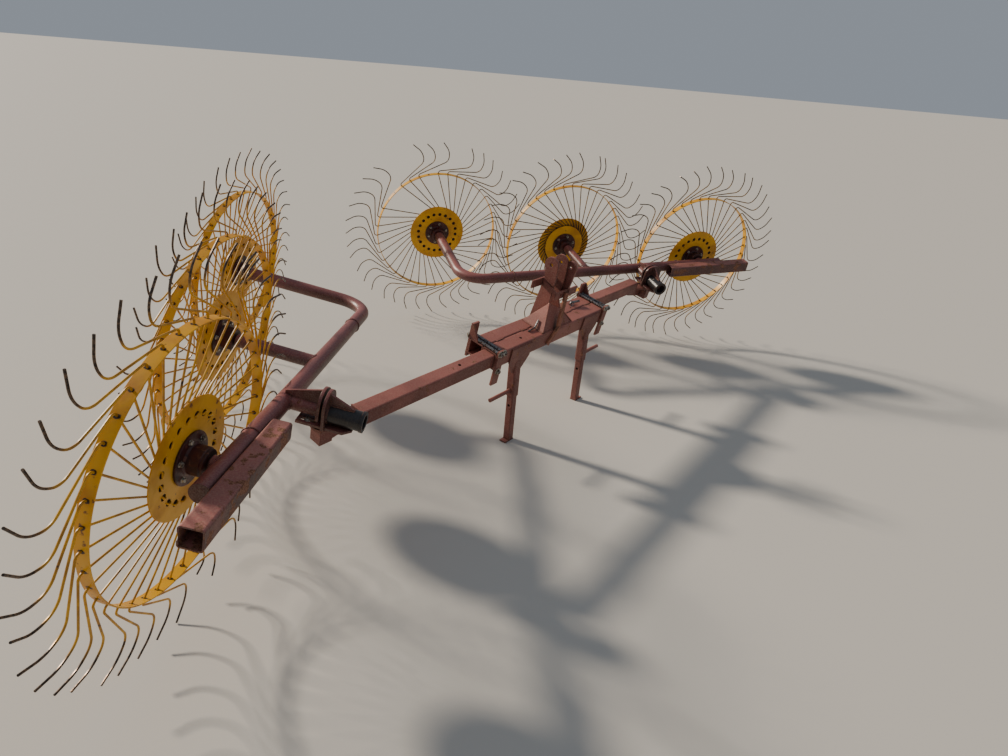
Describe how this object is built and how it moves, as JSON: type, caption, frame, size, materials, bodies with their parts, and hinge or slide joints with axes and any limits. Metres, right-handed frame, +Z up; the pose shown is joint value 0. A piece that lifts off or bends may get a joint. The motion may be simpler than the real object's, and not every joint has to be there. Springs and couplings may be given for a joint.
{
  "type": "wheel rake",
  "caption": "Finger wheel rake for a tractor's three-point linkage: trailing wings of leaning tined wheels on a telescopic beam with mast and stands.",
  "frame": {"origin": "centre of the overall box at floor level", "axes": "+X to the machine's right, +Y in the direction of travel, +Z up"},
  "size_m": [5.0368, 2.379, 1.3816],
  "materials": {
    "frame_paint": "faded red paint over rust",
    "pipe_paint": "worn maroon paint",
    "rusted_steel": "rusted bare steel",
    "hub_paint": "dark red paint",
    "wheel_yellow": "worn yellow paint"
  },
  "bodies": {
    "frame": {"beam_front_tube": "frame_paint", "beam_rear_tube": "frame_paint", "mast_plate_right": "frame_paint", "mast_plate_left": "frame_paint", "mast_strap": "rusted_steel", "mast_bracket": "frame_paint", "mast_gusset_right": "frame_paint", "mast_gusset_left": "frame_paint", "clamp_right": "frame_paint", "clamp_left": "frame_paint", "stand_socket_right": "frame_paint", "stand_socket_left": "frame_paint"},
    "right_sliding_arm": {"right_arm": "frame_paint"},
    "right_knuckle": {"right_knuckle_sleeve": "pipe_paint", "right_knuckle_plates": "pipe_paint"},
    "right_wing": {"right_wing_pipe": "pipe_paint", "right_wing_stub": "frame_paint", "right_wing_pivot": "pipe_paint"},
    "right_front_wheel": {"right_front_hub": "hub_paint", "right_front_plate": "wheel_yellow", "right_front_rim": "wheel_yellow"},
    "right_middle_wheel": {"right_middle_hub": "hub_paint", "right_middle_plate": "wheel_yellow", "right_middle_rim": "wheel_yellow"},
    "right_rear_wheel": {"right_rear_hub": "hub_paint", "right_rear_plate": "wheel_yellow", "right_rear_rim": "wheel_yellow"},
    "right_stand": {"stand_right": "frame_paint"},
    "left_sliding_arm": {"left_arm": "frame_paint"},
    "left_knuckle": {"left_knuckle_sleeve": "pipe_paint", "left_knuckle_plates": "pipe_paint"},
    "left_wing": {"left_wing_pipe": "pipe_paint", "left_wing_stub": "frame_paint", "left_wing_pivot": "pipe_paint"},
    "left_front_wheel": {"left_front_hub": "hub_paint", "left_front_plate": "wheel_yellow", "left_front_rim": "wheel_yellow"},
    "left_middle_wheel": {"left_middle_hub": "hub_paint", "left_middle_plate": "wheel_yellow", "left_middle_rim": "wheel_yellow"},
    "left_rear_wheel": {"left_rear_hub": "hub_paint", "left_rear_plate": "wheel_yellow", "left_rear_rim": "wheel_yellow"},
    "left_stand": {"stand_left": "frame_paint"}
  },
  "joints": [
    {"name": "right_arm_slide", "type": "slide", "parent": "frame", "child": "right_sliding_arm", "axis": [1, 0, 0], "range_m": [-0.08, 0.25]},
    {"name": "right_wing_yaw", "type": "hinge", "parent": "right_sliding_arm", "child": "right_knuckle", "pos_m": [1.37, 0.73692, 0.61281], "axis": [0, 0.1994, 0.9799], "range_deg": [-2, 8]},
    {"name": "right_wing_float", "type": "hinge", "parent": "right_knuckle", "child": "right_wing", "pos_m": [1.37, 0.73692, 0.61281], "axis": [-0.5225, 0.8355, -0.17], "range_deg": [-4, 4]},
    {"name": "right_front_wheel_spin", "type": "hinge", "parent": "right_wing", "child": "right_front_wheel", "pos_m": [1.91801, 0.80107, 0.6908], "axis": [-0.5225, 0.8355, -0.17], "continuous": true},
    {"name": "right_middle_wheel_spin", "type": "hinge", "parent": "right_wing", "child": "right_middle_wheel", "pos_m": [1.36622, 0, 0.6908], "axis": [-0.5225, 0.8355, -0.17], "continuous": true},
    {"name": "right_rear_wheel_spin", "type": "hinge", "parent": "right_wing", "child": "right_rear_wheel", "pos_m": [0.81443, -0.80107, 0.6908], "axis": [-0.5225, 0.8355, -0.17], "continuous": true},
    {"name": "right_stand_slide", "type": "slide", "parent": "frame", "child": "right_stand", "axis": [0, 0, 1], "range_m": [0, 0.13]},
    {"name": "left_arm_slide", "type": "slide", "parent": "frame", "child": "left_sliding_arm", "axis": [-1, 0, 0], "range_m": [-0.08, 0.25]},
    {"name": "left_wing_yaw", "type": "hinge", "parent": "left_sliding_arm", "child": "left_knuckle", "pos_m": [-1.37, 0.73692, 0.61281], "axis": [0, -0.1994, -0.9799], "range_deg": [-2, 8]},
    {"name": "left_wing_float", "type": "hinge", "parent": "left_knuckle", "child": "left_wing", "pos_m": [-1.37, 0.73692, 0.61281], "axis": [-0.5225, -0.8355, 0.17], "range_deg": [-4, 4]},
    {"name": "left_front_wheel_spin", "type": "hinge", "parent": "left_wing", "child": "left_front_wheel", "pos_m": [-1.91801, 0.80107, 0.6908], "axis": [-0.5225, -0.8355, 0.17], "continuous": true},
    {"name": "left_middle_wheel_spin", "type": "hinge", "parent": "left_wing", "child": "left_middle_wheel", "pos_m": [-1.36622, 0, 0.6908], "axis": [-0.5225, -0.8355, 0.17], "continuous": true},
    {"name": "left_rear_wheel_spin", "type": "hinge", "parent": "left_wing", "child": "left_rear_wheel", "pos_m": [-0.81443, -0.80107, 0.6908], "axis": [-0.5225, -0.8355, 0.17], "continuous": true},
    {"name": "left_stand_slide", "type": "slide", "parent": "frame", "child": "left_stand", "axis": [0, 0, 1], "range_m": [0, 0.13]}
  ]
}
